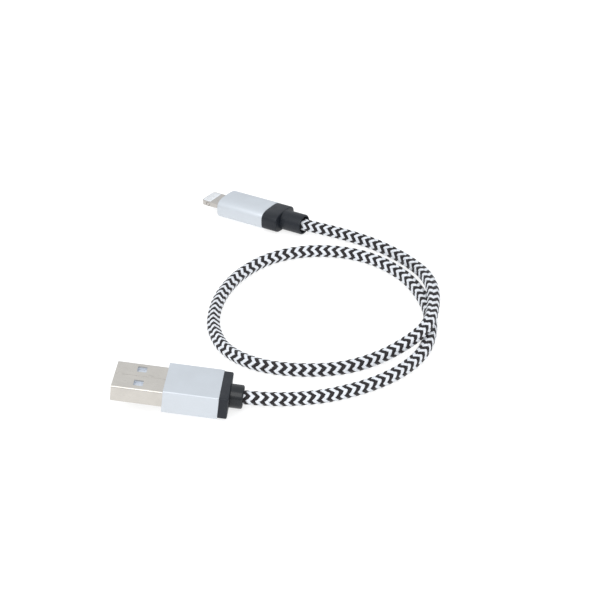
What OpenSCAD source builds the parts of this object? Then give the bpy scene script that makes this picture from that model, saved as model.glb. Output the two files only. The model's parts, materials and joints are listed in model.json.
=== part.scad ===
// Braided charging cable: a USB-A plug, a small reversible tab plug and the braided cord between
// them, lying on a table with the cord in one and a half loops.
// Z = 0 is the table. The origin is the middle of the phone plug's flat underside.
// Each plug is drawn in its own frame: x = 0 at the front of its casing, x runs towards the cord,
// and y = z = 0 is the plug's axis.

/* [USB plug] */
// Width of the USB plug's metal shell
usb_shell_w = 12.0; // [11.8:0.1:12.2]
// Height of the USB plug's metal shell
usb_shell_h = 4.5; // [4.4:0.1:4.6]
// Length of metal shell that stands out of the casing
usb_shell_out = 13.0; // [11:0.5:14]
// Width of the USB casing
usb_casing_w = 13.7; // [13.4:0.1:16]
// Height of the USB casing
usb_casing_h = 6.2; // [6.0:0.1:8]
// Length of the USB casing
usb_casing_l = 14.0; // [13.5:0.5:20]
// Thickness of the black end plate behind the USB casing
usb_cap_l = 2.4; // [1.5:0.1:4]
// Length of the round collar behind the USB end plate
usb_collar_l = 3.3; // [3:0.1:8]
// How far the USB plug's nose is tipped up
usb_tilt = 6.3; // [0:0.1:8]

/* [Phone plug] */
// Width of the phone plug's tab
tab_w = 6.7; // [6.6:0.1:6.8]
// Thickness of the phone plug's tab
tab_h = 1.5; // [1.4:0.1:1.6]
// Length of tab that stands out of the casing
tab_out = 7.0; // [6:0.1:7.5]
// Width of the phone casing
phone_casing_w = 10.8; // [10:0.1:13]
// Height of the phone casing
phone_casing_h = 6.1; // [6.0:0.1:8]
// Length of the phone casing
phone_casing_l = 16.1; // [16:0.1:22]
// Length of the black end cap behind the phone casing
phone_cap_l = 5.0; // [3:0.1:8]
// Length of the round collar behind the phone end cap
phone_collar_l = 6.9; // [4:0.1:10]
// Direction of the phone plug's axis on the table
phone_turn = -27.5; // [-30:0.5:-25]

/* [Cord] */
// Diameter over the braid
cord_d = 3.6; // [3.4:0.1:3.6]
// Diameter of the plastic jacket under the braid
jacket_d = 2.7; // [2.5:0.1:2.7]
// Diameter of each insulated wire
wire_d = 0.72; // [0.6:0.02:0.74]
// Diameter of both collars
collar_d = 6.1; // [5.8:0.1:6.1]

/* [Hidden] */
$fn = 48;
e = 0.5; // cutters run past the faces they cut by this much

aluminium = [0.80, 0.83, 0.87];
nickel = [0.78, 0.76, 0.73];
gold = [0.83, 0.69, 0.37];
solder = [0.70, 0.71, 0.72];
black = [0.16, 0.17, 0.19];
pale_plastic = [0.90, 0.92, 0.94];
mould_plastic = [0.85, 0.86, 0.84];
board_green = [0.10, 0.35, 0.20];

wall = 0.6; // wall of both aluminium casings
fit = 0.05; // clearance round a piece that slides into another
usb_cap_step = [0.25, 0.12]; // the USB end plate stands this far inside its casing, across and in height
phone_cap_step = 0.06; // the phone cap is almost flush with its casing
mould_back = 0.5; // the moulds stop this far inside the back of the casings
collar_bore_d = cord_d + 0.2;
recess_d = 4.3; // hollow in a collar's end, round the cord
recess_rim_d = 5.2; // the hollow's flared mouth
ferrule_d = 4.6;
ferrule_l = 1.8;
neck_l = 0.6; // the collar's neck, inside the cap

// USB plug
shell_wall = 0.3;
shell_in = 6.0; // metal shell hidden in the casing
window = [2.4, 2.5]; // the shell's spring windows, along and across
window_x = 6.5; // from the shell's tip to the windows' middle
window_y = 3.15;
tongue_w = usb_shell_w - 2 * shell_wall - 0.1;
tongue_t = 1.9;
tongue_tip = 0.4; // the tongue's tip lies this far inside the mouth
contact_w = 1.0;
contact_t = 0.25;
contact_sunk = 0.15; // how deep a contact sits in the tongue
contact_end = 8.2; // where the contacts' tails stop
contact_y = [-3.5, -1.0, 1.0, 3.5];
contact_tip = [1.0, 2.0, 2.0, 1.0]; // from the shell's tip, longer for power and ground
joint_l = 1.2;
usb_strip_x = 12.4; // where the jacket ends inside the mould
usb_collar_end = usb_casing_l + usb_cap_l + usb_collar_l;
usb_mould_end = usb_casing_l - mould_back;
usb_shell_bore = [usb_shell_w - 2 * shell_wall, usb_shell_h - 2 * shell_wall];
// What fits inside the USB casing, across and in height
usb_filling = [usb_casing_w - 2 * wall - 2 * fit, usb_casing_h - 2 * wall - 2 * fit];

// Phone plug
casing_r = 2.8; // corner radius of the phone casing's section
tab_r = 1.0; // rounding of the tab's nose
notch_x = 2.4; // from the tab's nose to the middle of its side notches
notch_d = 1.3;
notch_deep = 0.3;
window_gap = 0.3; // metal left in front of the contact window
pocket = [2.7, 5.6]; // contact window in the tab, along and across
pocket_x = window_gap - tab_out;
tab_in = 3.5;
board_t = 0.6;
board_w = 7.4;
board_end = 11.0;
board_gap = 0.3; // plastic in front of the board's tongue
board_tongue_w = 4.4;
pad = [2.0, 0.36]; // one contact on the tab, along and across
pad_pitch = 0.6;
phone_strip_x = 14.6;
phone_collar_end = phone_casing_l + phone_cap_l + phone_collar_l;
phone_mould_end = phone_casing_l - mould_back;
joint_y = [-2.7, -0.9, 0.9, 2.7];

// Where the plugs lie
usb_front = [-10.8, -104.8]; // the USB casing's front, seen from above
usb_z = usb_collar_end * sin(usb_tilt) + collar_d / 2 * cos(usb_tilt);

function usb_point(x, y, z) = [
  usb_front[0] + x * cos(usb_tilt) + z * sin(usb_tilt),
  usb_front[1] + y,
  usb_z - x * sin(usb_tilt) + z * cos(usb_tilt)
];
function phone_point(x, y, z) = let (u = x - phone_casing_l / 2) [
  u * cos(phone_turn) - y * sin(phone_turn),
  u * sin(phone_turn) + y * cos(phone_turn),
  phone_casing_h / 2 + z
];

// The cord's route between the collars, from the USB plug to the phone plug
route = [
  [14, -104.2, 2.4], [21, -103, 1.9], [30, -100.5, 1.8], [40, -95, 1.8], [48, -87.5, 1.8],
  [53.5, -78, 1.8], [55.5, -67, 1.8], [55, -56, 1.8], [52, -45, 1.8], [47, -35.5, 1.8],
  [39, -27.5, 1.8], [29, -23.5, 1.8], [18.5, -24, 1.8], [9, -29, 1.8], [2, -38, 1.8],
  [-2, -48.5, 1.8], [-3.5, -59.5, 1.8], [-2.5, -70.5, 1.8], [2, -80.5, 1.8],
  [10.5, -87, 1.8], [21, -89, 1.8], [32, -87.5, 1.8], [41.5, -82.5, 2.2], [49.5, -77, 4.2],
  [54.5, -70, 5.5], [56, -61, 5.6], [56, -51, 5.5], [54, -41, 4.5], [50.5, -32, 2.9],
  [45, -23.5, 1.9], [37, -16.5, 1.8], [29, -12.8, 2.3], [23, -11.2, 2.9]
];
route_steps = 2; // rings of the tubes for each route point

// A smooth curve through every point, never lower than a cord lying on the table
function spline_point(p, i, t) =
  let (a = p[i - 1], b = p[i], c = p[i + 1], d = p[i + 2])
  (2 * b + (c - a) * t + (2 * a - 5 * b + 4 * c - d) * t * t
    + (3 * b - a - 3 * c + d) * t * t * t) / 2;
function on_table(p) = [p[0], p[1], max(p[2], cord_d / 2)];
function spline(p, steps) =
  let (n = len(p), q = concat([2 * p[0] - p[1]], p, [2 * p[n - 1] - p[n - 2]]))
  concat(
    [for (i = [1:n - 1], k = [0:steps - 1]) on_table(spline_point(q, i, k / steps))],
    [p[n - 1]]
  );

// Rings that sweep a tube along points: each ring lies across the curve
function unit(v) = v / norm(v);
function heading(p, i) = unit(p[min(i + 1, len(p) - 1)] - p[max(i - 1, 0)]);
function sideways(p, i) = unit(cross([0, 0, 1], heading(p, i)));
function upwards(p, i) = cross(heading(p, i), sideways(p, i));
function ring_points(p, r, sides) = [
  for (i = [0:len(p) - 1], k = [0:sides - 1])
    let (a = 360 * k / sides) p[i] + r * (cos(a) * sideways(p, i) + sin(a) * upwards(p, i))
];
function skin_faces(rings, sides, first, flip) = [
  for (i = [0:rings - 2], k = [0:sides - 1])
    let (
      a = first + i * sides, b = a + sides, m = (k + 1) % sides,
      f = [a + k, a + m, b + m, b + k]
    )
    flip ? [f[3], f[2], f[1], f[0]] : f
];
function beside(p, across, above) = [
  for (i = [0:len(p) - 1]) p[i] + across * sideways(p, i) + above * upwards(p, i)
];

cord_line = spline(
  concat([usb_point(usb_collar_end, 0, 0)], route, [phone_point(phone_collar_end, 0, 0)]),
  route_steps
);
sleeve_line = concat(
  [usb_point(usb_mould_end, 0, 0)], cord_line, [phone_point(phone_mould_end, 0, 0)]
);
jacket_line = concat(
  [usb_point(usb_strip_x, 0, 0)], cord_line, [phone_point(phone_strip_x, 0, 0)]
);
sleeve_bore_d = jacket_d + 0.1;
jacket_bore_d = 2.3;
wire_offset = 0.46;
// Each wire's place in the jacket, across and above its middle
wire_place = [[-1, -1], [-1, 1], [1, 1], [1, -1]] * wire_offset;

// A solid rod swept along points
module rod(p, d, sides) {
  n = len(p);
  polyhedron(
    ring_points(p, d / 2, sides),
    concat(
      skin_faces(n, sides, 0, false),
      [[for (k = [sides - 1:-1:0]) k]],
      [[for (k = [0:sides - 1]) (n - 1) * sides + k]]
    ),
    convexity = 10
  );
}

// A hollow tube swept along points
module tube(p, d, bore, sides) {
  n = len(p);
  m = n * sides;
  last = m - sides;
  polyhedron(
    concat(ring_points(p, d / 2, sides), ring_points(p, bore / 2, sides)),
    concat(
      skin_faces(n, sides, 0, false),
      skin_faces(n, sides, m, true),
      [for (k = [0:sides - 1]) let (j = (k + 1) % sides) [j, k, m + k, m + j]],
      [for (k = [0:sides - 1]) let (j = (k + 1) % sides)
        [last + k, last + j, last + m + j, last + m + k]]
    ),
    convexity = 10
  );
}

module at_usb() translate(usb_point(0, 0, 0)) rotate([0, usb_tilt, 0]) children();
module at_phone() translate(phone_point(0, 0, 0)) rotate([0, 0, phone_turn]) children();

// A box from x0 to x1, with its middle at y and z
module block(x0, x1, w, h, y = 0, z = 0)
  translate([x0, y - w / 2, z - h / 2]) cube([x1 - x0, w, h]);

// A bar from x0 to x1 with rounded long edges
module bar(x0, x1, w, h, r)
  translate([x0, 0, 0]) rotate([90, 0, 90]) linear_extrude(x1 - x0) {
    square([w - 2 * r, h], center = true);
    square([w, h - 2 * r], center = true);
    for (sy = [-1, 1], sz = [-1, 1]) translate([sy * (w / 2 - r), sz * (h / 2 - r)]) circle(r);
  }

// A round rod from x0 to x1, with its middle at y and z
module round_x(x0, x1, d, y = 0, z = 0)
  translate([x0, y, z]) rotate([0, 90, 0]) cylinder(h = x1 - x0, d = d);

module usb_shell() color(nickel) at_usb() difference() {
  bar(-usb_shell_out, shell_in, usb_shell_w, usb_shell_h, 0.5);
  bar(-usb_shell_out - e, shell_in + e, usb_shell_bore[0], usb_shell_bore[1], 0.1);
  for (sy = [-1, 1])
    block(
      -usb_shell_out + window_x - window[0] / 2, -usb_shell_out + window_x + window[0] / 2,
      window[1], usb_shell_h + 2 * e, sy * window_y
    );
}

tongue_z = usb_shell_h / 2 - shell_wall - fit - tongue_t / 2;
contact_z = tongue_z - tongue_t / 2 + contact_sunk - contact_t / 2;

module usb_contact(i)
  block(-usb_shell_out + contact_tip[i], contact_end, contact_w, contact_t, contact_y[i], contact_z);

module usb_tongue() color(pale_plastic) at_usb() difference() {
  union() {
    block(-usb_shell_out + tongue_tip, shell_in, tongue_w, tongue_t, 0, tongue_z);
    block(wall, shell_in, tongue_w - 0.3, usb_shell_h - 2 * shell_wall - 2 * fit);
  }
  for (i = [0:3]) usb_contact(i);
}

module usb_power_contact() color(gold) at_usb() usb_contact(0);
module usb_data_minus_contact() color(gold) at_usb() usb_contact(1);
module usb_data_plus_contact() color(gold) at_usb() usb_contact(2);
module usb_ground_contact() color(gold) at_usb() usb_contact(3);

module usb_solder_joints() color(solder) at_usb()
  for (y = contact_y) round_x(contact_end, contact_end + joint_l, contact_w, y, contact_z);

module usb_inner_mould() color(mould_plastic) at_usb() difference() {
  block(wall, usb_mould_end, usb_filling[0], usb_filling[1]);
  block(wall - e, shell_in + fit, usb_shell_w + 2 * fit, usb_shell_h + 2 * fit);
  block(shell_in, usb_strip_x, 9.4, 3.6);
  round_x(usb_strip_x - e, usb_mould_end + e, jacket_d + 2 * fit);
}

module usb_casing() color(aluminium) at_usb() difference() {
  bar(0, usb_casing_l, usb_casing_w, usb_casing_h, 0.5);
  block(wall, usb_casing_l + e, usb_casing_w - 2 * wall, usb_casing_h - 2 * wall);
  block(-e, wall + e, usb_shell_w + 2 * fit, usb_shell_h + 2 * fit);
}

// The ferrule and the collar's neck share a cap's bore
module cap_bore(x0, x1) round_x(x0, x1, ferrule_d + 2 * fit);

module usb_end_cap() color(black) at_usb() difference() {
  union() {
    bar(
      usb_casing_l, usb_casing_l + usb_cap_l, usb_casing_w - 2 * usb_cap_step[0],
      usb_casing_h - 2 * usb_cap_step[1], 0.4
    );
    block(usb_mould_end, usb_casing_l + e, usb_filling[0], usb_filling[1]);
  }
  cap_bore(usb_mould_end - e, usb_casing_l + usb_cap_l + e);
}

// A collar from x0, with its neck in the cap and a rounded end at x1, hollowed to the depth of its mouth
module collar(x0, x1, mouth) rotate([0, 90, 0]) rotate_extrude() {
  rim = 0.45;
  difference() {
    union() {
      translate([0, x0 - neck_l]) square([ferrule_d / 2, neck_l + e]);
      translate([0, x0]) square([collar_d / 2, x1 - x0 - rim]);
      translate([0, x0 + e]) square([collar_d / 2 - rim, x1 - x0 - e]);
      translate([collar_d / 2 - rim, x1 - rim]) circle(rim);
    }
    translate([-e, x0 - neck_l - e]) square([collar_bore_d / 2 + e, x1 - x0 + neck_l + 2 * e]);
    translate([0, x1 - mouth]) square([recess_d / 2, mouth + e]);
    polygon([
      [recess_d / 2 - e, x1 - 1], [recess_d / 2, x1 - 1], [recess_rim_d / 2, x1],
      [recess_rim_d / 2, x1 + e], [recess_d / 2 - e, x1 + e]
    ]);
  }
}

module crimp_ferrule(x0) difference() {
  round_x(x0, x0 + ferrule_l, ferrule_d);
  round_x(x0 - e, x0 + ferrule_l + e, cord_d + 2 * fit);
}

module usb_collar() color(black) at_usb() collar(usb_casing_l + usb_cap_l, usb_collar_end, 1.2);
module usb_crimp_ferrule() color(nickel) at_usb() crimp_ferrule(usb_mould_end);

// A plate's front end at x with its two corners rounded to radius r
module nose(x, w, h, r) {
  block(x, x + r, w - 2 * r, h);
  for (sy = [-1, 1]) translate([x + r, sy * (w / 2 - r), -h / 2]) cylinder(h = h, r = r);
}

module contact_window(h) {
  nose(pocket_x, pocket[1], h, tab_r - window_gap);
  block(pocket_x + tab_r - window_gap, pocket_x + pocket[0], pocket[1], h);
}

module phone_tab_frame() color(nickel) at_phone() difference() {
  union() {
    block(tab_r - tab_out, tab_in, tab_w, tab_h);
    nose(-tab_out, tab_w, tab_h, tab_r);
  }
  contact_window(tab_h + 2 * e);
  block(pocket_x, tab_in + e, board_tongue_w + 2 * fit, board_t + 2 * fit);
  for (sy = [-1, 1])
    translate([notch_x - tab_out, sy * (tab_w / 2 + notch_d / 2 - notch_deep), -tab_h / 2 - e])
      cylinder(h = tab_h + 2 * e, d = notch_d);
}

// Eight contacts on one face of the tab: side is 1 for the upper face and -1 for the lower
module tab_contacts(side)
  for (i = [-3.5:3.5])
    block(
      pocket_x + pocket[0] / 2 - pad[0] / 2, pocket_x + pocket[0] / 2 + pad[0] / 2, pad[1],
      (tab_h - board_t) / 2, i * pad_pitch, side * (tab_h + board_t) / 4
    );

module phone_tab_insert() color(pale_plastic) at_phone() difference() {
  contact_window(tab_h);
  block(pocket_x + board_gap, pocket_x + pocket[0] + e, board_tongue_w, board_t);
  tab_contacts(1);
  tab_contacts(-1);
}

module phone_upper_contacts() color(gold) at_phone() tab_contacts(1);
module phone_lower_contacts() color(gold) at_phone() tab_contacts(-1);

module phone_circuit_board() color(board_green) at_phone() {
  block(pocket_x + board_gap, tab_in + fit, board_tongue_w, board_t);
  block(tab_in + fit, board_end, board_w, board_t);
}

module phone_control_chip() color(black) at_phone()
  block(4.6, 7.2, 3.0, 0.7, 0, board_t / 2 + 0.35);

module phone_capacitors() color(gold) at_phone()
  for (y = [-1.5, 0, 1.5]) block(8.0, 8.6, 0.9, 0.5, y, board_t / 2 + 0.25);

module phone_solder_joints() color(solder) at_phone()
  for (y = joint_y) block(board_end - 1.4, board_end, 0.9, 0.7, y, board_t / 2 + 0.35);

module phone_inner_mould() color(mould_plastic) at_phone() difference() {
  bar(
    wall, phone_mould_end, phone_casing_w - 2 * wall - 2 * fit,
    phone_casing_h - 2 * wall - 2 * fit, casing_r - wall - fit
  );
  block(wall - e, tab_in + fit, tab_w + 2 * fit, tab_h + 2 * fit);
  block(tab_in, phone_strip_x, 7.6, 3.0);
  round_x(phone_strip_x - e, phone_mould_end + e, jacket_d + 2 * fit);
}

module phone_casing() color(aluminium) at_phone() difference() {
  bar(0, phone_casing_l, phone_casing_w, phone_casing_h, casing_r);
  bar(
    wall, phone_casing_l + e, phone_casing_w - 2 * wall, phone_casing_h - 2 * wall,
    casing_r - wall
  );
  block(-e, wall + e, tab_w + 2 * fit, tab_h + 2 * fit);
}

module phone_end_cap() color(black) at_phone() difference() {
  union() {
    bar(
      phone_casing_l, phone_casing_l + phone_cap_l, phone_casing_w - 2 * phone_cap_step,
      phone_casing_h - 2 * phone_cap_step, casing_r - phone_cap_step
    );
    bar(
      phone_mould_end, phone_casing_l + e, phone_casing_w - 2 * wall - 2 * fit,
      phone_casing_h - 2 * wall - 2 * fit, casing_r - wall - fit
    );
  }
  cap_bore(phone_mould_end - e, phone_casing_l + phone_cap_l + e);
}

module phone_collar() color(black) at_phone()
  collar(phone_casing_l + phone_cap_l, phone_collar_end, 2.5);
module phone_crimp_ferrule() color(nickel) at_phone() crimp_ferrule(phone_mould_end);

module braided_sleeve() color([0.5, 0.5, 0.52]) tube(sleeve_line, cord_d, sleeve_bore_d, 8);
module inner_jacket() color([0.93, 0.93, 0.91]) tube(jacket_line, jacket_d, jacket_bore_d, 8);

// One insulated wire, from its solder joint in the USB plug to the one in the phone plug.
// Its place across the jacket is mirrored at the phone plug, where the line runs into the plug.
module wire(i) {
  usb_joint = contact_end + joint_l;
  inside = beside(jacket_line, wire_place[i][0], wire_place[i][1]);
  phone_y = joint_y[3 - i];
  rod(
    concat(
      [usb_point(usb_joint, contact_y[i], contact_z)], inside,
      [phone_point(board_end, phone_y, board_t / 2 + 0.4)]
    ),
    wire_d, 6
  );
}

module power_wire() color([0.75, 0.15, 0.12]) wire(0);
module data_minus_wire() color([0.95, 0.95, 0.95]) wire(1);
module data_plus_wire() color([0.15, 0.55, 0.25]) wire(2);
module ground_wire() color([0.10, 0.10, 0.10]) wire(3);

usb_shell();
usb_tongue();
usb_power_contact();
usb_data_minus_contact();
usb_data_plus_contact();
usb_ground_contact();
usb_solder_joints();
usb_inner_mould();
usb_casing();
usb_end_cap();
usb_collar();
usb_crimp_ferrule();
phone_tab_frame();
phone_tab_insert();
phone_upper_contacts();
phone_lower_contacts();
phone_circuit_board();
phone_control_chip();
phone_capacitors();
phone_solder_joints();
phone_inner_mould();
phone_casing();
phone_end_cap();
phone_collar();
phone_crimp_ferrule();
braided_sleeve();
inner_jacket();
power_wire();
data_minus_wire();
data_plus_wire();
ground_wire();
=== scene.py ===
"""A braided charging cable on a pale table: a USB-A plug, a small tab plug and the cord between
them. Lengths in this file are in millimetres until they become mesh points, which are in metres."""
import json
import math

import bmesh
import bpy
import numpy as np
from mathutils import Matrix, Vector


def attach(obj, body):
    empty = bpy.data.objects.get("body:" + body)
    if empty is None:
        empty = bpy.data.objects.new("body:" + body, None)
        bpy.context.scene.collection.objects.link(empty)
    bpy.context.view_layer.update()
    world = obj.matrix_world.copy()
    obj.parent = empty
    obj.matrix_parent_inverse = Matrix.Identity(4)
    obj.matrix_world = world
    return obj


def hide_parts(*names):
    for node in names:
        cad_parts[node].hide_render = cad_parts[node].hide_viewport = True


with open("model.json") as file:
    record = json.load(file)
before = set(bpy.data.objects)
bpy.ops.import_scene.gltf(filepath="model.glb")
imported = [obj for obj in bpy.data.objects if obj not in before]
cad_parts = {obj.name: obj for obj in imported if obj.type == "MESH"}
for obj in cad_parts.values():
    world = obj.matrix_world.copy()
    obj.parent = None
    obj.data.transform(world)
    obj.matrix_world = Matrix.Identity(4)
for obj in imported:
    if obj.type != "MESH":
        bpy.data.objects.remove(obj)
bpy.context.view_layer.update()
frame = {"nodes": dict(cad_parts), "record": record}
MM = 0.001

# ---------------------------------------------------------------- sizes, as in the CAD model

USB_NOSE = 13.0  # metal sleeve in front of the casing
USB_CASING = 14.0
USB_PLATE = 2.4
USB_COLLAR = 3.3
TAB_NOSE = 7.0
PHONE_CASING = 16.1
PHONE_CAP = 5.0
PHONE_COLLAR = 6.9
COLLAR_D = 6.1
CORD_D = 3.6
WALL = 0.6
SLEEVE = (12.0, 4.5, 0.55)  # the USB sleeve's width, height and corner radius
SHEET = 0.3  # thickness of the sleeve's metal
TONGUE_T = 1.9
TONGUE_GAP = 0.05  # between the tongue and the sleeve above it
TONGUE_Z = SLEEVE[1] / 2 - SHEET - TONGUE_GAP - TONGUE_T / 2
CONTACT_T = 0.25
CONTACT_SUNK = 0.15  # depth of the contacts in the tongue's underside
CONTACT_Y = (-3.5, -1.0, 1.0, 3.5)
CONTACT_FRONT = (-12.0, -11.0, -11.0, -12.0)  # power and ground reach further forward
CONTACT_END = 8.2
CONTACT_Z = SLEEVE[1] / 2 - SHEET - TONGUE_GAP - TONGUE_T + CONTACT_SUNK - CONTACT_T / 2
USB_COLLAR_END = USB_CASING + USB_PLATE + USB_COLLAR
PHONE_COLLAR_END = PHONE_CASING + PHONE_CAP + PHONE_COLLAR

mounts = {m["name"]: m for m in frame["record"]["mounts"]}


def plug_frame(mount, nose):
    """A plug's own frame: x = 0 at the front of its casing, x towards the cord, z up."""
    x = -Vector(mounts[mount]["axis"]).normalized()
    y = Vector((0, 0, 1)).cross(x).normalized()
    z = x.cross(y)
    place = Vector(mounts[mount]["pos_m"]) + x * nose * MM
    return Matrix.Translation(place) @ Matrix((x, y, z)).transposed().to_4x4()


USB = plug_frame("usb_plug", USB_NOSE)
PHONE = plug_frame("phone_plug", TAB_NOSE)

# The cord's route between the collars, the same points as in part.scad
ROUTE = [
    (14, -104.2, 2.4), (21, -103, 1.9), (30, -100.5, 1.8), (40, -95, 1.8), (48, -87.5, 1.8),
    (53.5, -78, 1.8), (55.5, -67, 1.8), (55, -56, 1.8), (52, -45, 1.8), (47, -35.5, 1.8),
    (39, -27.5, 1.8), (29, -23.5, 1.8), (18.5, -24, 1.8), (9, -29, 1.8), (2, -38, 1.8),
    (-2, -48.5, 1.8), (-3.5, -59.5, 1.8), (-2.5, -70.5, 1.8), (2, -80.5, 1.8),
    (10.5, -87, 1.8), (21, -89, 1.8), (32, -87.5, 1.8), (41.5, -82.5, 2.2), (49.5, -77, 4.2),
    (54.5, -70, 5.5), (56, -61, 5.6), (56, -51, 5.5), (54, -41, 4.5), (50.5, -32, 2.9),
    (45, -23.5, 1.9), (37, -16.5, 1.8), (29, -12.8, 2.3), (23, -11.2, 2.9),
]


def in_plug(plug, x, y=0.0, z=0.0):
    """A point of a plug's frame in the row frame, in millimetres."""
    return np.array(plug @ (Vector((x, y, z)) * MM)) / MM


def spline(points, steps):
    """The curve that part.scad sweeps its tubes along, with more points."""
    p = np.array(points, float)
    p = np.vstack([2 * p[0] - p[1], p, 2 * p[-1] - p[-2]])
    t = (np.arange(steps) / steps)[:, None]
    line = [
        (2 * b + (c - a) * t + (2 * a - 5 * b + 4 * c - d) * t**2 + (3 * b - a - 3 * c + d) * t**3)
        / 2
        for a, b, c, d in zip(p, p[1:], p[2:], p[3:])
    ]
    line = np.vstack(line + [p[-2:-1]])
    line[:, 2] = np.maximum(line[:, 2], CORD_D / 2)
    return line


def resampled(line, step):
    """The line with points about step apart, and how far along it each one is."""
    along = np.concatenate([[0], np.cumsum(np.linalg.norm(np.diff(line, axis=0), axis=1))])
    at = np.linspace(0, along[-1], int(round(along[-1] / step)) + 1)
    return np.stack([np.interp(at, along, line[:, k]) for k in range(3)], axis=1), at


def smoothed(line, rounds):
    """The line with its inner points eased, so that its bends change evenly."""
    for _ in range(rounds):
        line[1:-1] += (line[:-2] + line[2:] - 2 * line[1:-1]) / 4
        line[1:-1, 2] = np.maximum(line[1:-1, 2], CORD_D / 2)
    return line


def ring_axes(line):
    """The direction, the level sideways direction and the upward direction at each point."""
    t = np.gradient(line, axis=0)
    t /= np.linalg.norm(t, axis=1)[:, None]
    side = np.cross([0, 0, 1], t)
    side /= np.linalg.norm(side, axis=1)[:, None]
    return t, side, np.cross(t, side)


free_line = spline(
    [in_plug(USB, USB_COLLAR_END), *ROUTE, in_plug(PHONE, PHONE_COLLAR_END)], 40
)
free_line = smoothed(resampled(free_line, 0.5)[0], 12)


def cord_line(usb_x, phone_x, step):
    """The cord's middle line, run on straight into both plugs as far as those places."""
    line = np.vstack([[in_plug(USB, usb_x)], free_line, [in_plug(PHONE, phone_x)]])
    return resampled(line, step)


# ---------------------------------------------------------------- the camera

AIM = Vector((19.14, -49.41, 0)) * MM
DISTANCE, ELEVATION, TURN = 468.6, math.radians(29.66), math.radians(3.97)
camera = bpy.data.objects.new("camera", bpy.data.cameras.new("camera"))
bpy.context.scene.collection.objects.link(camera)
camera.location = AIM + Vector(
    (
        math.sin(TURN) * math.cos(ELEVATION),
        -math.cos(TURN) * math.cos(ELEVATION),
        math.sin(ELEVATION),
    )
) * DISTANCE * MM
camera.rotation_euler = (AIM - camera.location).to_track_quat("-Z", "Y").to_euler()
camera.data.sensor_width = 36
camera.data.lens = 100.5
camera.data.clip_start = 0.01
bpy.context.scene.camera = camera

# ---------------------------------------------------------------- materials


class Nodes:
    """A material's nodes, with the links that these materials need."""

    def __init__(self, name):
        self.material = bpy.data.materials.new(name)
        self.material.use_nodes = True
        self.tree = self.material.node_tree
        self.shader = self.tree.nodes["Principled BSDF"]

    def add(self, kind, **values):
        node = self.tree.nodes.new(kind)
        for key, value in values.items():
            if key in node.inputs:
                self.feed(node.inputs[key], value)
            else:
                setattr(node, key, value)
        return node

    def feed(self, socket, value):
        if isinstance(value, bpy.types.NodeSocket):
            self.tree.links.new(value, socket)
        else:
            socket.default_value = value

    def set(self, **values):
        for key, value in values.items():
            self.feed(self.shader.inputs[key.replace("_", " ")], value)

    def coords(self, scale=(1, 1, 1), uv=False):
        source = self.add("ShaderNodeTexCoord").outputs["UV" if uv else "Object"]
        return self.add("ShaderNodeMapping", Vector=source, Scale=scale).outputs[0]

    def noise(self, vector, scale, detail=3.0, rough=0.5):
        node = self.add("ShaderNodeTexNoise", Scale=scale, Detail=detail, Roughness=rough)
        self.feed(node.inputs["Vector"], vector)
        return node.outputs["Fac"]

    def ramp(self, value, low, high, first, last):
        """value as a colour: first below low, last above high."""
        node = self.add("ShaderNodeValToRGB")
        self.feed(node.inputs["Fac"], value)
        for stop, at, colour in zip(node.color_ramp.elements, (low, high), (first, last)):
            stop.position, stop.color = at, (*colour, 1)
        return node.outputs["Color"]

    def spread(self, value, low, high, from_low=0.3, from_high=0.7):
        node = self.add("ShaderNodeMapRange")
        self.feed(node.inputs["Value"], value)
        for key, number in zip(
            ("From Min", "From Max", "To Min", "To Max"), (from_low, from_high, low, high)
        ):
            node.inputs[key].default_value = number
        return node.outputs["Result"]

    def mix(self, factor, first, last, how="MIX"):
        node = self.add("ShaderNodeMix", data_type="RGBA", blend_type=how)
        for socket, value in zip((node.inputs[0], node.inputs[6], node.inputs[7]),
                                 (factor, first, last)):
            self.feed(socket, value)
        return node.outputs[2]

    def bump(self, height, distance):
        node = self.add("ShaderNodeBump", Height=height, Distance=distance, Strength=1.0)
        return node.outputs["Normal"]


def blasted(name, colour, metallic, rough, grain, distance):
    """Fine matt metal or plastic: two sizes of grain and a slow change of tone."""
    n = Nodes(name)
    where = n.coords()
    fine, slow = n.noise(where, grain, 4, 0.6), n.noise(where, 220, 3)
    darker = tuple(0.985 * c for c in colour)
    lighter = tuple(min(1, 1.015 * c) for c in colour)
    tone = n.ramp(slow, 0.35, 0.65, darker, lighter)
    speck = n.ramp(fine, 0.35, 0.7, (0.94, 0.94, 0.94), (1, 1, 1))
    n.set(
        Base_Color=n.mix(1.0, tone, speck, "MULTIPLY"),
        Metallic=metallic,
        Roughness=n.spread(slow, rough - 0.04, rough + 0.05),
        Normal=n.bump(fine, distance),
    )
    return n.material


def brushed(name, colour, rough, along=(0.05, 1, 1)):
    """Rolled and plated sheet: faint streaks along x and slow blotches."""
    n = Nodes(name)
    streaks = n.noise(n.coords(along), 9000, 3, 0.6)
    slow = n.noise(n.coords(), 300, 3)
    tone = n.ramp(slow, 0.3, 0.7, tuple(0.93 * c for c in colour), colour)
    lines = n.ramp(streaks, 0.3, 0.7, (0.93, 0.93, 0.93), (1, 1, 1))
    n.set(
        Base_Color=n.mix(1.0, tone, lines, "MULTIPLY"),
        Metallic=1.0,
        Roughness=n.spread(streaks, rough - 0.04, rough + 0.06),
        Normal=n.bump(streaks, 0.000004),
    )
    return n.material


def moulded(name, colour, rough, grain=5000, distance=0.000006, specks=0.0, gloss=0.5):
    """Moulded plastic with a fine spark-eroded texture."""
    n = Nodes(name)
    where = n.coords()
    fine, slow = n.noise(where, grain, 3, 0.65), n.noise(where, 400, 3)
    pale = tuple(c + specks for c in colour)
    n.set(
        Base_Color=n.ramp(fine, 0.42, 0.75, colour, pale),
        Roughness=n.spread(slow, rough - 0.05, rough + 0.06),
        Specular_IOR_Level=gloss,
        Normal=n.bump(fine, distance),
    )
    return n.material


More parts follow.
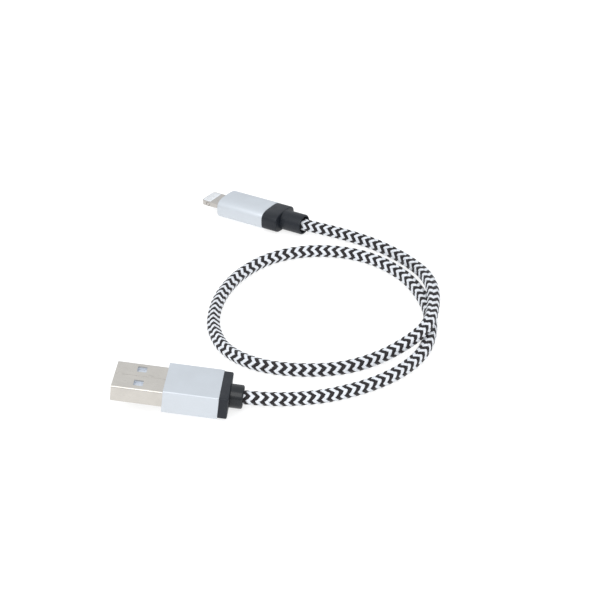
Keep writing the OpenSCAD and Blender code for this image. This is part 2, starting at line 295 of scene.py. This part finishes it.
def yarn(name, dark, pale, rough, sheen, gloss):
    """Flat multifilament yarn: long fine fibres that run along it."""
    n = Nodes(name)
    fibres = n.noise(n.coords((0.9, 13, 1), uv=True), 1.0, 3, 0.6)
    fine = n.noise(n.coords((3, 34, 1), uv=True), 1.0, 2, 0.6)
    both = n.mix(0.4, fibres, fine)
    n.set(
        Base_Color=n.ramp(both, 0.32, 0.66, dark, pale),
        Roughness=rough,
        Specular_IOR_Level=gloss,
        Sheen_Weight=sheen,
        Sheen_Roughness=0.4,
        Normal=n.bump(both, 0.00005),
    )
    return n.material


CASING = blasted("blasted_aluminium", (0.70, 0.735, 0.775), 1.0, 0.6, 12000, 0.000004)
STEEL = brushed("plated_steel_sheet", (0.65, 0.62, 0.575), 0.3)
TAB_METAL = brushed("plated_tab_metal", (0.56, 0.535, 0.505), 0.3, (1, 0.1, 1))
BLACK = moulded("black_moulded_plastic", (0.008, 0.011, 0.017), 0.42, 5200, 0.00001, 0.010, 0.34)
GLOSSY_BLACK = moulded(
    "black_collar_plastic", (0.007, 0.009, 0.012), 0.25, 4200, 0.000005, 0.006, 0.42
)
# Pale insulator plastic: its own white, darkened overall as painted shade for where it sits inside
# the sleeve.
WHITE_WITH_PAINTED_SHADE = moulded("white_insulator_plastic_with_painted_shade", (0.60, 0.64, 0.70), 0.4)
CONTACT_FACE = moulded("pale_contact_face", (0.76, 0.79, 0.83), 0.35)
NATURAL = moulded("natural_polyethylene", (0.72, 0.73, 0.70), 0.5)
BOARD = moulded("green_circuit_board", (0.02, 0.13, 0.05), 0.35)
EPOXY = moulded("black_epoxy", (0.012, 0.012, 0.014), 0.4)
CERAMIC = moulded("tan_ceramic", (0.42, 0.29, 0.16), 0.45)
JACKET = moulded("white_cable_jacket", (0.80, 0.80, 0.78), 0.45)
GOLD = brushed("gold_contact_plating", (0.83, 0.62, 0.27), 0.25)
PAD = brushed("pale_contact_plating", (0.86, 0.86, 0.86), 0.28)
SOLDER = brushed("bright_solder", (0.66, 0.67, 0.69), 0.3)
WIRE_COLOURS = {
    "power_wire": (0.52, 0.03, 0.02),
    "data_minus_wire": (0.82, 0.82, 0.80),
    "data_plus_wire": (0.03, 0.26, 0.06),
    "ground_wire": (0.015, 0.015, 0.016),
}
DARK_YARN = yarn("black_yarn", (0.004, 0.003, 0.004), (0.030, 0.025, 0.028), 0.5, 0.04, 0.25)
PALE_YARN = yarn("white_yarn", (0.58, 0.61, 0.66), (0.88, 0.90, 0.93), 0.5, 0.2, 0.5)

# ---------------------------------------------------------------- mesh helpers


SMOOTH_ANGLE = 32  # edges that turn by more degrees than this stay sharp


def piece(name, points, faces, materials, place=None, smooth_angle=SMOOTH_ANGLE):
    """An object from points in millimetres, smooth but for its sharper edges."""
    mesh = bpy.data.meshes.new(name)
    mesh.from_pydata((np.asarray(points, float) * MM).tolist(), [], faces)
    made = bpy.data.objects.new(name, mesh)
    bpy.context.scene.collection.objects.link(made)
    for material in materials:
        mesh.materials.append(material)
    if place is not None:
        made.matrix_world = place
    shade(mesh, smooth_angle)
    return made


def shade(mesh, smooth_angle=SMOOTH_ANGLE):
    """Stray points joined, faces turned outwards, and sharp edges marked."""
    bm = bmesh.new()
    bm.from_mesh(mesh)
    bmesh.ops.remove_doubles(bm, verts=bm.verts, dist=1e-7)
    bmesh.ops.dissolve_degenerate(bm, edges=bm.edges, dist=1e-8)
    bmesh.ops.recalc_face_normals(bm, faces=bm.faces)
    for face in bm.faces:
        face.smooth = True
    for edge in bm.edges:
        edge.smooth = edge.calc_face_angle(0.0) < math.radians(smooth_angle)
    bm.to_mesh(mesh)
    bm.free()


def corner_loop(w, h, r, count):
    """A rectangle with round corners, count points for each corner, centred on zero."""
    loop = []
    for k, (sy, sz) in enumerate(((1, 1), (-1, 1), (-1, -1), (1, -1))):
        for a in np.linspace(0, math.pi / 2, count):
            a += k * math.pi / 2
            loop.append((sy * (w / 2 - r) + r * math.cos(a), sz * (h / 2 - r) + r * math.sin(a)))
    return loop


def skin(loops, closed=False):
    """Quads between loops of the same number of points, with flat ends unless closed."""
    n, rows = len(loops[0]), len(loops)
    faces = [
        (i * n + k, i * n + (k + 1) % n, (i + 1) % rows * n + (k + 1) % n, (i + 1) % rows * n + k)
        for i in range(rows if closed else rows - 1)
        for k in range(n)
    ]
    if not closed:
        faces += [tuple(range(n))[::-1], tuple(range((rows - 1) * n, rows * n))]
    return [p for loop in loops for p in loop], faces


def oval_loop(w, h, power, count):
    """A superellipse, its points shared out by direction as corner_loop's are."""
    loop = []
    for k in range(4):
        for a in np.linspace(0, math.pi / 2, count):
            c, s = math.cos(a + k * math.pi / 2), math.sin(a + k * math.pi / 2)
            far = (abs(c) ** power + abs(s) ** power) ** (-1 / power)
            loop.append((w / 2 * far * c, h / 2 * far * s))
    return loop


def section_loop(w, h, r, count):
    """A section with corner radius r, or an oval where r is negative: minus its power."""
    return corner_loop(w, h, min(r, w / 2, h / 2), count) if r > 0 else oval_loop(w, h, -r, count)


def loft(name, sections, materials, place, count=8):
    """Sections along x, each (x, width, height, corner radius or minus an oval's power)."""
    loops = [[(x, y, z) for y, z in section_loop(w, h, r, count)] for x, w, h, r in sections]
    points, faces = skin(loops, closed=True)
    return piece(name, points, faces, materials, place)


def turned(name, profile, materials, place, count=72):
    """A ring turned about x from a closed profile of (x, radius)."""
    loops = [
        [(x, r * math.cos(a), r * math.sin(a)) for a in 2 * math.pi * np.arange(count) / count]
        for x, r in profile
    ]
    points, faces = skin(loops, closed=True)
    return piece(name, points, faces, materials, place)


def eased(x, w, h, r, inset, back=False, steps=4):
    """Sections that round the edge between a front face at x and the flanks behind it. With back
    they round the edge between the flanks and a back face at x."""
    rows = []
    for a in np.linspace(0, math.pi / 2, steps + 1):
        deep, out = inset * (1 - math.cos(a)), inset * (1 - math.sin(a))
        corner = max(r - out, 0.02) if r > 0 else r
        rows.append((x - deep if back else x + deep, w - 2 * out, h - 2 * out, corner))
    return rows[::-1] if back else rows


def applied(made):
    """The piece with its modifiers made part of its mesh."""
    view = bpy.context.evaluated_depsgraph_get()
    mesh = bpy.data.meshes.new_from_object(made.evaluated_get(view))
    made.modifiers.clear()
    old, made.data = made.data, mesh
    bpy.data.meshes.remove(old)


def cut(made, cutters):
    """The cutters are taken out of the piece."""
    for cutter in cutters:
        tool = made.modifiers.new("cut", "BOOLEAN")
        tool.object, tool.operation, tool.solver = cutter, "DIFFERENCE", "MANIFOLD"
        bpy.context.view_layer.update()
        applied(made)
        bpy.data.objects.remove(cutter)
    shade(made.data)


def plate(name, outline, z0, z1, materials, place, ease=0.0, steps=3):
    """A flat piece from an outline in x and y, its upper and lower edges rounded over ease."""
    middle = np.mean(outline, axis=0)
    pts = np.array(outline)
    edge = np.roll(pts, -1, axis=0) - np.roll(pts, 1, axis=0)
    inward = np.stack([-edge[:, 1], edge[:, 0]], axis=1)
    inward /= np.linalg.norm(inward, axis=1)[:, None]
    if ((middle - pts) * inward).sum() < 0:
        inward = -inward
    angles = np.linspace(0, math.pi / 2, steps + 1) if ease else [0.0]
    lower = [(z0 + ease * (1 - math.sin(a)), ease * (1 - math.cos(a))) for a in angles]
    upper = [(z0 + z1 - z, out) for z, out in lower]
    loops = [
        [(x, y, z) for x, y in pts + inward * out] for z, out in lower[::-1] + upper
    ]
    loops.sort(key=lambda loop: loop[0][2])
    points, faces = skin(loops)
    return piece(name, points, faces, materials, place)


def put(made, slot, *nodes):
    """The piece rides on the one body and stands for those CAD nodes; slot is not used."""
    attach(made, "root")
    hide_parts(*nodes)
    return made


# ---------------------------------------------------------------- the cord

# How far along the cord from the USB collar, and the length there of a yarn's turn round it
LEADS = np.array([
    (0, 9.5), (25, 9.4), (40, 10.4), (54, 11.3), (63, 13.2), (71, 14.7), (79, 12.9), (94, 12.5),
    (110, 11.3), (126, 10.2), (142, 10.7), (158, 11.1), (174, 11.1), (186, 10.6), (198, 8.6),
    (206, 8.8), (216, 9.6), (230, 10.0), (240, 10.1), (254, 8.8), (262, 10.2), (272, 12.8),
    (284, 14.6), (300, 14.9), (314, 12.4), (326, 10.3), (342, 9.3),
], float)
BRAID_IN_USB, BRAID_IN_PHONE = 2.2, 3.5  # how far the braid goes into each collar
YARNS = 8  # each way round
CROSSINGS = 2 * YARNS
YARN_T = 0.24
COVER = 1.09  # a yarn's width as a share of the room it has
WEAVE = 0.13  # how far a yarn moves out and in
MIDDLE_R = CORD_D / 2 - WEAVE - YARN_T / 2
# A yarn's section: across and out, as shares of its width and thickness
SECTION = np.array([(-0.5, -0.22), (-0.3, 0.33), (0.0, 0.5), (0.3, 0.33), (0.5, -0.22)])
RING_STEP = 0.295
LEAD_WINDOW = 63  # rings that a change of lead is spread over
SQUARENESS = 1.6  # how level a yarn stays between going over and under


def woven_cord(name):
    """All the yarns as one piece: each goes over two of the others and under two."""
    line, along = cord_line(
        USB_COLLAR_END - BRAID_IN_USB, PHONE_COLLAR_END - BRAID_IN_PHONE, RING_STEP
    )
    lead = np.interp(along - BRAID_IN_USB, *LEADS.T)
    window = np.hanning(LEAD_WINDOW)
    lead = np.pad(lead, (LEAD_WINDOW - 3) // 2, mode="edge")
    lead = np.convolve(lead, window[1:-1] / window.sum(), "valid")
    twist = 2 * math.pi * np.cumsum(np.gradient(along) / lead)
    slant = np.arctan(2 * math.pi * MIDDLE_R / lead)
    yarn_w = COVER * lead / YARNS * np.sin(slant)
    _, side, up = ring_axes(line)
    rows, k = len(line), len(SECTION)
    points, colours, uvs = [], [], []
    rng = np.random.default_rng(7)
    for way in (1, -1):
        for i in range(YARNS):
            turn = way * twist + 2 * math.pi * i / YARNS
            wave = np.cos(math.pi * (CROSSINGS * turn / (2 * math.pi) - 0.5) / 2) * way
            lift = np.tanh(SQUARENESS * wave) / math.tanh(SQUARENESS)
            out = np.cos(turn)[:, None] * side + np.sin(turn)[:, None] * up
            middle = line + (MIDDLE_R + WEAVE * lift)[:, None] * out
            t = np.gradient(middle, axis=0)
            t /= np.linalg.norm(t, axis=1)[:, None]
            across = np.cross(out, t)
            across /= np.linalg.norm(across, axis=1)[:, None]
            outer = np.cross(t, across)
            width = yarn_w * (1 + 0.03 * lift)
            points.append(
                middle[:, None]
                + across[:, None] * (SECTION[:, 0] * width[:, None])[:, :, None]
                + outer[:, None] * (SECTION[:, 1] * YARN_T)[None, :, None]
            )
            colours.append(i % 2)
            uvs.append(rng.random(2) * 50)
    points = np.concatenate([p.reshape(-1, 3) for p in points])
    r, c = np.meshgrid(np.arange(rows - 1), np.arange(k), indexing="ij")
    r, c = r.ravel(), c.ravel()
    quads = np.stack(
        [r * k + c, r * k + (c + 1) % k, (r + 1) * k + (c + 1) % k, (r + 1) * k + c], 1
    )
    faces, tones = [], []
    for i, colour in enumerate(colours):
        first = i * rows * k
        faces += (quads + first).tolist()
        last = first + (rows - 1) * k
        faces += [list(range(first, first + k))[::-1], list(range(last, last + k))]
        tones += [colour] * (len(quads) + 2)
    mesh = bpy.data.meshes.new(name)
    mesh.from_pydata((points * MM).tolist(), [], faces)
    mesh.materials.append(DARK_YARN)
    mesh.materials.append(PALE_YARN)
    mesh.polygons.foreach_set("material_index", np.array(tones, np.int32))
    mesh.polygons.foreach_set("use_smooth", np.ones(len(faces), bool))
    # Across the yarn is v and along it u, in yarn widths
    u = np.repeat(np.cumsum(np.gradient(along) / np.cos(slant) / yarn_w), k)
    v = np.tile(SECTION[:, 0], rows)
    flat = np.concatenate([np.stack([u, v], 1) + shift for shift in uvs])
    corners = np.zeros(len(mesh.loops), np.int32)
    mesh.loops.foreach_get("vertex_index", corners)
    mesh.uv_layers.new(name="yarn").data.foreach_set("uv", flat[corners].ravel())
    mesh.validate()
    made = bpy.data.objects.new(name, mesh)
    bpy.context.scene.collection.objects.link(made)
    return made, line


def round_cord(name, line, d, material, count=12):
    """A plain tube along a line, closed at both ends."""
    _, side, up = ring_axes(line)
    loops = [
        [tuple(p + d / 2 * (math.cos(a) * s + math.sin(a) * u))
         for a in 2 * math.pi * np.arange(count) / count]
        for p, s, u in zip(line, side, up)
    ]
    points, faces = skin(loops)
    return piece(name, points, faces, [material], smooth_angle=50)


braid, braid_line = woven_cord("braided_cord")
put(braid, "braid", "braided_sleeve")

JACKET_D, WIRE_D, WIRE_OFFSET = 2.5, 0.72, 0.46
jacket_line, _ = cord_line(12.4, 14.6, 1.5)
_, j_side, j_up = ring_axes(jacket_line)


def jacket(name, d, bore, count=24):
    """A hollow tube: the wires run in its bore."""
    angles = 2 * math.pi * np.arange(count) / count
    loops = []
    for radius, order in ((d / 2, 1), (bore / 2, -1)):
        for p, s, u in list(zip(jacket_line, j_side, j_up))[::order]:
            loops.append([tuple(p + radius * (math.cos(a) * s + math.sin(a) * u)) for a in angles])
    points, faces = skin(loops, closed=True)
    return piece(name, points, faces, [JACKET], smooth_angle=50)


inner = put(jacket("cable_jacket", JACKET_D, 2.2), "jacket", "inner_jacket")

# Each wire: its node, its slot, its place in the jacket and its joint on the circuit board
WIRES = (
    ("power_wire", "wire_red", -1, -1, 2.7),
    ("data_minus_wire", "wire_white", -1, 1, 0.9),
    ("data_plus_wire", "wire_green", 1, 1, -0.9),
    ("ground_wire", "wire_black", 1, -1, -2.7),
)
for (name, slot, across, above, joint_y), contact_y in zip(WIRES, CONTACT_Y):
    inside = jacket_line + WIRE_OFFSET * (across * j_side + above * j_up)
    wire_line = resampled(
        np.vstack(
            [
                [in_plug(USB, CONTACT_END + 1.2, contact_y, CONTACT_Z)],
                inside,
                [in_plug(PHONE, 11.0, joint_y, 0.7)],
            ]
        ),
        1.5,
    )[0]
    colour = moulded(f"{name}_insulation", WIRE_COLOURS[name], 0.4)
    strand = put(round_cord(f"{name}_run", wire_line, WIRE_D, colour), slot, name)

# ---------------------------------------------------------------- the USB plug

sleeve = loft(
    "usb_metal_sleeve",
    [
        (6.0, SLEEVE[0] - 2 * SHEET, SLEEVE[1] - 2 * SHEET, 0.25),
        (-12.9, SLEEVE[0] - 2 * SHEET, SLEEVE[1] - 2 * SHEET, 0.25),
        (-12.97, SLEEVE[0] - 2 * SHEET + 0.08, SLEEVE[1] - 2 * SHEET + 0.08, 0.27),
        (-USB_NOSE, SLEEVE[0] - 2 * SHEET + 0.2, SLEEVE[1] - 2 * SHEET + 0.2, 0.33),
        (-USB_NOSE, SLEEVE[0] - 0.24, SLEEVE[1] - 0.24, 0.45),
        (-12.96, SLEEVE[0] - 0.08, SLEEVE[1] - 0.08, 0.52),
        (-12.86, *SLEEVE),
        (6.0, *SLEEVE),
    ],
    [STEEL],
    USB,
)
WINDOW_X, WINDOW_Y = -6.5, 3.15  # the spring windows' middles
WINDOW_L, WINDOW_W = 2.4, 2.5


def block_cutter(x0, x1, w, y, z0, z1, r=0.15):
    loop = [(x + (x0 + x1) / 2, yy + y) for x, yy in corner_loop(x1 - x0, w, r, 4)]
    return plate("cutter", loop, z0, z1, [STEEL], USB)


cut(sleeve, [
    block_cutter(WINDOW_X - WINDOW_L / 2, WINDOW_X + WINDOW_L / 2, WINDOW_W, y, -5, 5)
    for y in (-WINDOW_Y, WINDOW_Y)
])


def groove_cutter(path, width, z0, z1):
    """A narrow upright band along a path in x and y."""
    p = np.array(path, float)
    t = np.gradient(p, axis=0)
    t /= np.linalg.norm(t, axis=1)[:, None]
    n = np.stack([-t[:, 1], t[:, 0]], axis=1) * width / 2
    loops = [
        [(*(q + m), z0), (*(q + m), z1), (*(q - m), z1), (*(q - m), z0)] for q, m in zip(p, n)
    ]
    points, faces = skin(loops)
    return piece("cutter", points, faces, [STEEL], USB)


# The rolled sheet meets along the middle of the upper face and locks with two dovetails
seam = [(-13.3, 0.0)]
for x in (-11.6, -3.9):
    seam += [(x - 0.45, 0.0), (x - 0.62, 0.75), (x + 0.62, 0.75), (x + 0.45, 0.0)]
seam.append((0.4, 0.0))
cut(sleeve, [groove_cutter(seam, 0.06, SLEEVE[1] / 2 - 0.05, 3)])
put(sleeve, "plated_steel", "usb_shell")


def outline_box(x0, x1, w, r, y=0.0, count=4):
    return [(x + (x0 + x1) / 2, yy + y) for x, yy in corner_loop(x1 - x0, w, r, count)]


tongue = plate(
    "usb_contact_tongue", outline_box(-12.6, 6.0, 11.25, 0.3), TONGUE_Z - TONGUE_T / 2,
    TONGUE_Z + TONGUE_T / 2, [WHITE_WITH_PAINTED_SHADE], USB, ease=0.18,
)
cut(tongue, [
    plate("cutter", outline_box(WINDOW_X - 1.3, WINDOW_X + 1.3, 2.6, 0.15, y), TONGUE_Z + 0.37,
          TONGUE_Z + 2, [WHITE_WITH_PAINTED_SHADE], USB)
    for y in (-WINDOW_Y, WINDOW_Y)
])
base = plate("usb_base", outline_box(WALL, 6.0, 11.0, 0.3), -1.9, 1.9, [WHITE_WITH_PAINTED_SHADE], USB, ease=0.1)
join = tongue.modifiers.new("join", "BOOLEAN")
join.object, join.operation, join.solver = base, "UNION", "MANIFOLD"
bpy.context.view_layer.update()
applied(tongue)
bpy.data.objects.remove(base)
cut(tongue, [
    plate("cutter", outline_box(front - 0.08, 6.5, 1.16, 0.1, y), CONTACT_Z - 0.13,
          CONTACT_Z + CONTACT_T / 2, [WHITE_WITH_PAINTED_SHADE], USB)
    for front, y in zip(CONTACT_FRONT, CONTACT_Y)
] + [
    plate("cutter", outline_box(-12.2, -1.0, 0.9, 0.2, y), TONGUE_Z - 1.5, TONGUE_Z - 0.7,
          [WHITE_WITH_PAINTED_SHADE], USB)
    for y in (-2.25, 0, 2.25)
])
put(tongue, "pale_plastic", "usb_tongue")

CONTACTS = ("power", "data_minus", "data_plus", "ground")
for name, front, y in zip(CONTACTS, CONTACT_FRONT, CONTACT_Y):
    contact = plate(
        f"usb_{name}_strip", outline_box(front, CONTACT_END, 1.0, 0.2, y),
        CONTACT_Z - CONTACT_T / 2, CONTACT_Z + CONTACT_T / 2, [GOLD], USB, ease=0.06,
    )
    put(contact, "contact_gold", f"usb_{name}_contact")

# The aluminium casing: its outside, then its inside, as one closed skin
def hollow_casing(name, length, w, h, r, mouth, front, back, place):
    """mouth is the opening's width, height and corner radius; front and back ease the edges."""
    mw, mh, mr = mouth
    inner = (w - 2 * WALL, h - 2 * WALL, max(r - WALL, 0.1) if r > 0 else r)
    lip = 0.08
    return loft(
        name,
        [
            (WALL, mw, mh, mr),
            (lip, mw, mh, mr),
            (0.0, mw + 2 * lip, mh + 2 * lip, mr + lip),
            *eased(0.0, w, h, r, front),
            *eased(length, w, h, r, back, back=True),
            (length, inner[0] + 2 * lip, inner[1] + 2 * lip, inner[2] + (lip if r > 0 else 0)),
            (length - lip, *inner),
            (WALL, *inner),
        ],
        [CASING],
        place,
        count=24,
    )


def end_cap(name, x0, x1, w, h, r, filling, front, back, place):
    """A black cap from x0 to x1 with a round bore; filling is its plug inside the casing."""
    bore = (4.7, 4.7, 2.35)
    return loft(
        name,
        [
            (x0 - 0.5, *bore),
            (x0 - 0.5, *filling),
            (x0, *filling),
            *eased(x0, w, h, r, front),
            *eased(x1, w, h, r, back, back=True),
            (x1, *bore),
        ],
        [BLACK],
        place,
        count=24,
    )


def collar(name, x0, x1, depth, rim, material, place):
    """A round bush: its neck goes into the cap, and its end is hollowed round the cord."""
    r, neck, bore, recess, flare = COLLAR_D / 2, 2.3, 1.9, 2.35, 2.75
    edge = [
        (x1 - rim * (1 - math.sin(a)), r - rim * (1 - math.cos(a)))
        for a in np.linspace(0, math.pi / 2, 6)
    ]
    profile = [
        (x0 - 0.6, bore), (x0 - 0.6, neck), (x0, neck), (x0, r - 0.08), (x0 + 0.08, r),
        *edge, (x1, flare + 0.06), (x1 - 0.03, flare), (x1 - 1.0, recess + 0.03),
        (x1 - 1.08, recess), (x1 - depth, recess), (x1 - depth, bore),
    ]
    return turned(name, profile, [material], place)


W, H, R = 13.7, 6.2, 0.32
put(hollow_casing("usb_aluminium_casing", USB_CASING, W, H, R, (12.1, 4.6, 0.55), 0.1, 0.12, USB),
    "aluminium_casing", "usb_casing")
put(end_cap("usb_end_plate", USB_CASING, USB_CASING + USB_PLATE, W - 0.5, H - 0.24, 0.5,
            (W - 1.3, H - 1.3, 0.1), 0.06, 0.42, USB),
    "black_plastic", "usb_end_cap")
put(collar("usb_cord_collar", USB_CASING + USB_PLATE, USB_COLLAR_END, 1.2, 0.45,
           GLOSSY_BLACK, USB),
    "black_plastic", "usb_collar")

# ---------------------------------------------------------------- the phone plug

W, H, R = 10.8, 6.1, -3.3
put(hollow_casing("phone_aluminium_casing", PHONE_CASING, W, H, R, (6.8, 1.6, 0.1), 0.35, 0.14,
                  PHONE),
    "aluminium_casing", "phone_casing")
put(end_cap("phone_cord_cap", PHONE_CASING, PHONE_CASING + PHONE_CAP, W - 0.12, H - 0.12, R,
            (W - 1.3, H - 1.3, R), 0.08, 0.35, PHONE),
    "black_plastic", "phone_end_cap")
put(collar("phone_cord_collar", PHONE_CASING + PHONE_CAP, PHONE_COLLAR_END, 2.5, 0.4,
           BLACK, PHONE),
    "black_plastic", "phone_collar")

TAB_W, TAB_H, TAB_R = 6.7, 1.5, 1.0


def nose_outline(x0, x1, w, r, count=9):
    """A rectangle in plan with its two front corners, at x0, rounded."""
    arc = [math.pi / 2 * k / (count - 1) for k in range(count)]
    lower = [(x0 + r - r * math.cos(a), -w / 2 + r - r * math.sin(a)) for a in arc]
    return [(x1, w / 2)] + [(x, -y) for x, y in lower[::-1]] + lower + [(x1, -w / 2)]


tab = plate("phone_metal_tab", nose_outline(-TAB_NOSE, 3.5, TAB_W, TAB_R), -TAB_H / 2, TAB_H / 2,
            [TAB_METAL], PHONE, ease=0.12, steps=4)
WINDOW = (-TAB_NOSE + 0.2, -4.0, 6.0, 0.8)  # front, back, width and front corner radius
DEEP = 0.3
cut(tab, [
    plate("cutter", nose_outline(*WINDOW), z0, z1, [TAB_METAL], PHONE)
    for z0, z1 in ((TAB_H / 2 - DEEP, 2), (-2, DEEP - TAB_H / 2))
])
for sy in (-1, 1):
    scoop = bpy.data.meshes.new("cutter")
    bm = bmesh.new()
    bmesh.ops.create_uvsphere(bm, u_segments=32, v_segments=16, radius=MM)
    bmesh.ops.scale(bm, vec=(0.75, 0.5, 0.6), verts=bm.verts)
    bmesh.ops.translate(bm, vec=((2.4 - TAB_NOSE) * MM, sy * TAB_W / 2 * MM, 0), verts=bm.verts)
    bm.to_mesh(scoop)
    bm.free()
    scoop = bpy.data.objects.new("cutter", scoop)
    bpy.context.scene.collection.objects.link(scoop)
    scoop.matrix_world = PHONE
    cut(tab, [scoop])
put(tab, "plated_steel", "phone_tab_frame")


def merged(name, parts):
    """The parts' meshes as one piece."""
    bm = bmesh.new()
    for part in parts:
        bm.from_mesh(part.data)
    mesh = bpy.data.meshes.new(name)
    bm.to_mesh(mesh)
    bm.free()
    for material in parts[0].data.materials:
        mesh.materials.append(material)
    made = bpy.data.objects.new(name, mesh)
    made.matrix_world = parts[0].matrix_world
    bpy.context.scene.collection.objects.link(made)
    for part in parts:
        bpy.data.objects.remove(part)
    shade(mesh)
    return made


GAP = 0.02  # between the contact face and the window it fills
PROUD = 0.015  # how far the contact face stands out of the tab
insert_plan = nose_outline(WINDOW[0] + GAP, WINDOW[1] - GAP, WINDOW[2] - 2 * GAP, WINDOW[3] - GAP)
faces_in = merged("phone_contact_faces", [
    plate("part", insert_plan, z0, z1, [CONTACT_FACE], PHONE, ease=0.04)
    for z0, z1 in ((TAB_H / 2 - DEEP, TAB_H / 2 + PROUD), (-TAB_H / 2 - PROUD, DEEP - TAB_H / 2))
])
put(faces_in, "pale_plastic", "phone_tab_insert")
for side, name in ((1, "upper"), (-1, "lower")):
    z = side * (TAB_H / 2 + PROUD)
    low, high = sorted((z - side * 0.05, z + side * 0.02))
    pads = merged(f"phone_{name}_pads", [
        plate("part", outline_box(-6.5, -4.4, 0.4, 0.12, k * 0.66), low, high, [PAD], PHONE,
              ease=0.015)
        for k in np.arange(-3.5, 4)
    ])
    put(pads, "contact_gold", f"phone_{name}_contacts")

# ---------------------------------------------------------------- the CAD pieces inside

INSIDE = {
    "usb_solder_joints": SOLDER, "phone_solder_joints": SOLDER,
    "usb_inner_mould": NATURAL, "phone_inner_mould": NATURAL,
    "usb_crimp_ferrule": STEEL, "phone_crimp_ferrule": STEEL,
    "phone_circuit_board": BOARD, "phone_control_chip": EPOXY, "phone_capacitors": CERAMIC,
}
for name, material in INSIDE.items():
    node = frame["nodes"][name]
    for slot in node.material_slots:
        slot.material = material

# ---------------------------------------------------------------- table and light

bpy.ops.mesh.primitive_plane_add(size=6, location=(0, 0, 0))
floor = bpy.context.object
floor.name = "table"
paper = Nodes("white_paper")
paper.set(
    Base_Color=paper.ramp(paper.noise(paper.coords(), 3, 2), 0.3, 0.7, (0.33,) * 3, (0.35,) * 3),
    Roughness=0.9,
)
paper.set(Emission_Color=(1, 1, 1, 1), Emission_Strength=0.75)
floor.data.materials.append(paper.material)

world = bpy.data.worlds.new("studio")
bpy.context.scene.world = world
world.use_nodes = True
sky = world.node_tree
height = sky.nodes.new("ShaderNodeSeparateXYZ")
sky.links.new(sky.nodes.new("ShaderNodeTexCoord").outputs["Generated"], height.inputs[0])
walls = sky.nodes.new("ShaderNodeValToRGB")
sky.links.new(height.outputs["Z"], walls.inputs["Fac"])
low, high = walls.color_ramp.elements
low.position, low.color = 0.05, (0.42, 0.43, 0.45, 1)
high.position, high.color = 0.42, (0.96, 0.98, 1, 1)
sky.links.new(walls.outputs["Color"], sky.nodes["Background"].inputs["Color"])
sky.nodes["Background"].inputs["Strength"].default_value = 1.0


def softbox(name, place, aim, size, watts):
    """A rectangular lamp at place that faces aim."""
    lamp = bpy.data.objects.new(name, bpy.data.lights.new(name, "AREA"))
    lamp.data.shape, lamp.data.size, lamp.data.size_y = "RECTANGLE", *size
    lamp.data.energy = watts
    lamp.location = place
    lamp.rotation_euler = (Vector(aim) - Vector(place)).to_track_quat("-Z", "Y").to_euler()
    bpy.context.scene.collection.objects.link(lamp)


CENTRE = Vector((0.02, -0.05, 0))
softbox("front_overhead", CENTRE + Vector((-0.1, -0.66, 0.74)), CENTRE, (1.3, 0.65), 4.8)

bpy.context.scene.view_settings.view_transform = "Standard"
